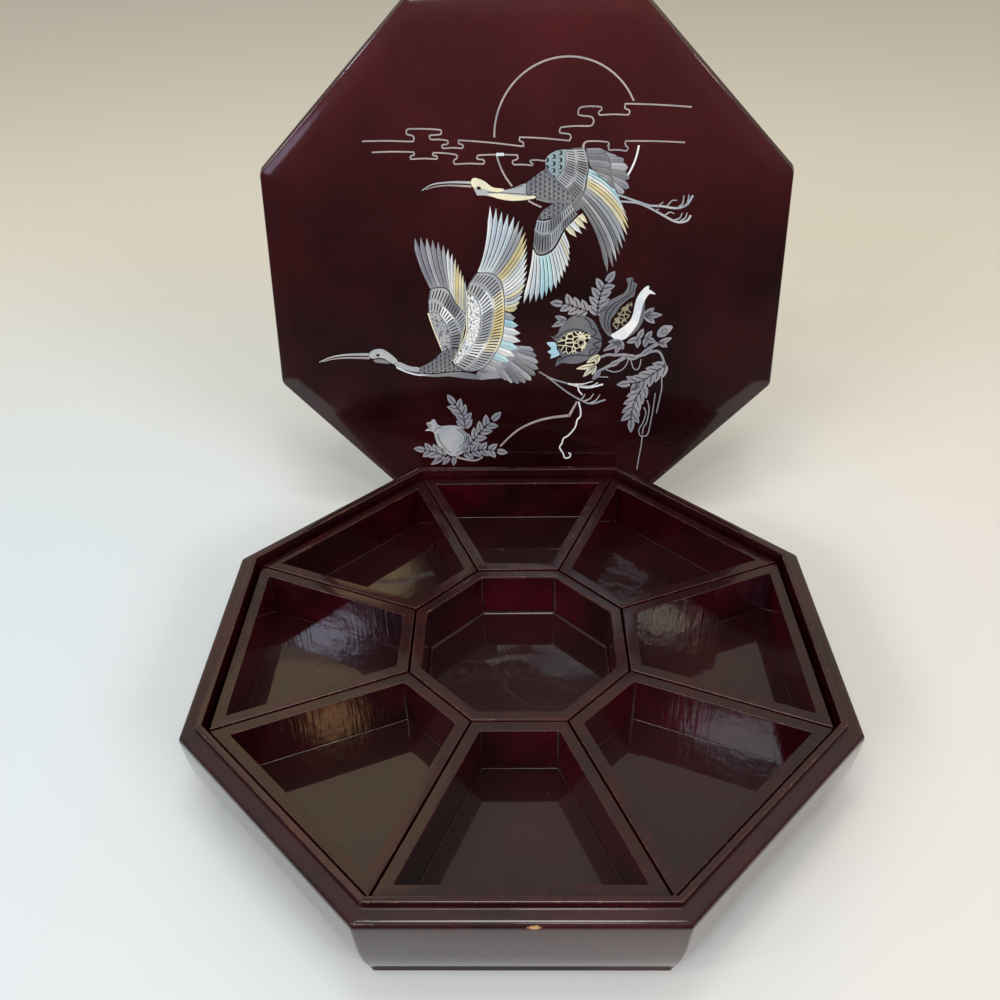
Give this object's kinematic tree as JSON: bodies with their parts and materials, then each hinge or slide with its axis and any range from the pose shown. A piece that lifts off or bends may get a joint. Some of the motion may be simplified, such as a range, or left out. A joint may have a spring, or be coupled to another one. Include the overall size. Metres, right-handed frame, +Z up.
{
  "type": "octagonal lacquer serving box with loose trays and an inlaid lid",
  "caption": "Low eight-sided lacquer food box with loose lift-out trays round a middle one; its shell-inlaid lid is off and stands leaning behind it.",
  "frame": {"origin": "middle of the underside of the base, on the table", "axes": "+Z up, -Y towards the front of the box, the lid stands on the +Y side with its face to the front, +X to the right seen from the front"},
  "size_m": [0.3358, 0.4148, 0.3247],
  "materials": {
    "box_lacquer": "glossy dark oxblood lacquer over wooden boards",
    "tray_lacquer": "glossy maroon lacquer over wooden trays",
    "foot_lacquer": "satin near-black lacquer on the underside board",
    "shell": "polished mother-of-pearl plates with pale cyan, gold and pink lights"
  },
  "bodies": {
    "base": {"foot_board": "foot_lacquer", "base_floor": "tray_lacquer", "base_wall_1": "box_lacquer", "base_wall_2": "box_lacquer", "base_wall_3": "box_lacquer", "base_wall_4": "box_lacquer", "base_wall_5": "box_lacquer", "base_wall_6": "box_lacquer", "base_wall_7": "box_lacquer", "base_wall_8": "box_lacquer"},
    "centre_tray": {"centre_tray_walls": "tray_lacquer", "centre_tray_floor": "tray_lacquer"},
    "side_tray_1": {"side_tray_1_walls": "tray_lacquer", "side_tray_1_floor": "tray_lacquer"},
    "side_tray_2": {"side_tray_2_walls": "tray_lacquer", "side_tray_2_floor": "tray_lacquer"},
    "side_tray_3": {"side_tray_3_walls": "tray_lacquer", "side_tray_3_floor": "tray_lacquer"},
    "side_tray_4": {"side_tray_4_walls": "tray_lacquer", "side_tray_4_floor": "tray_lacquer"},
    "side_tray_5": {"side_tray_5_walls": "tray_lacquer", "side_tray_5_floor": "tray_lacquer"},
    "side_tray_6": {"side_tray_6_walls": "tray_lacquer", "side_tray_6_floor": "tray_lacquer"},
    "side_tray_7": {"side_tray_7_walls": "tray_lacquer", "side_tray_7_floor": "tray_lacquer"},
    "side_tray_8": {"side_tray_8_walls": "tray_lacquer", "side_tray_8_floor": "tray_lacquer"},
    "lid": {"lid_panel": "box_lacquer", "lid_side_1": "box_lacquer", "lid_side_2": "box_lacquer", "lid_side_3": "box_lacquer", "lid_side_4": "box_lacquer", "lid_side_5": "box_lacquer", "lid_side_6": "box_lacquer", "lid_side_7": "box_lacquer", "lid_side_8": "box_lacquer", "moon_upper_arc": "shell", "moon_left_arc": "shell", "moon_right_arc": "shell", "cloud_upper_line": "shell", "cloud_lower_line": "shell", "cloud_right_line": "shell", "upper_crane_near_wing": "shell", "upper_crane_body": "shell", "upper_crane_far_wing": "shell", "upper_crane_tail": "shell", "upper_crane_legs": "shell", "lower_crane_near_wing": "shell", "lower_crane_body": "shell", "lower_crane_far_wing": "shell", "lower_crane_tail": "shell", "lower_crane_legs": "shell", "pomegranate_left": "shell", "pomegranate_right": "shell", "pomegranate_low": "shell", "leaf_sprays_top": "shell", "leaf_sprays_right": "shell", "leaf_sprays_low": "shell", "branch_and_tendril": "shell"}
  },
  "joints": [
    {"name": "centre_tray_lift", "type": "slide", "parent": "base", "child": "centre_tray", "axis": [0, 0, 1], "range_m": [0, 0.06]},
    {"name": "side_tray_1_lift", "type": "slide", "parent": "base", "child": "side_tray_1", "axis": [0, 0, 1], "range_m": [0, 0.06]},
    {"name": "side_tray_2_lift", "type": "slide", "parent": "base", "child": "side_tray_2", "axis": [0, 0, 1], "range_m": [0, 0.06]},
    {"name": "side_tray_3_lift", "type": "slide", "parent": "base", "child": "side_tray_3", "axis": [0, 0, 1], "range_m": [0, 0.06]},
    {"name": "side_tray_4_lift", "type": "slide", "parent": "base", "child": "side_tray_4", "axis": [0, 0, 1], "range_m": [0, 0.06]},
    {"name": "side_tray_5_lift", "type": "slide", "parent": "base", "child": "side_tray_5", "axis": [0, 0, 1], "range_m": [0, 0.06]},
    {"name": "side_tray_6_lift", "type": "slide", "parent": "base", "child": "side_tray_6", "axis": [0, 0, 1], "range_m": [0, 0.06]},
    {"name": "side_tray_7_lift", "type": "slide", "parent": "base", "child": "side_tray_7", "axis": [0, 0, 1], "range_m": [0, 0.06]},
    {"name": "side_tray_8_lift", "type": "slide", "parent": "base", "child": "side_tray_8", "axis": [0, 0, 1], "range_m": [0, 0.06]},
    {"name": "lid_lift", "type": "slide", "parent": "base", "child": "lid", "axis": [0.0051, 0.1878, 0.9822], "range_m": [0, 0.1]}
  ]
}
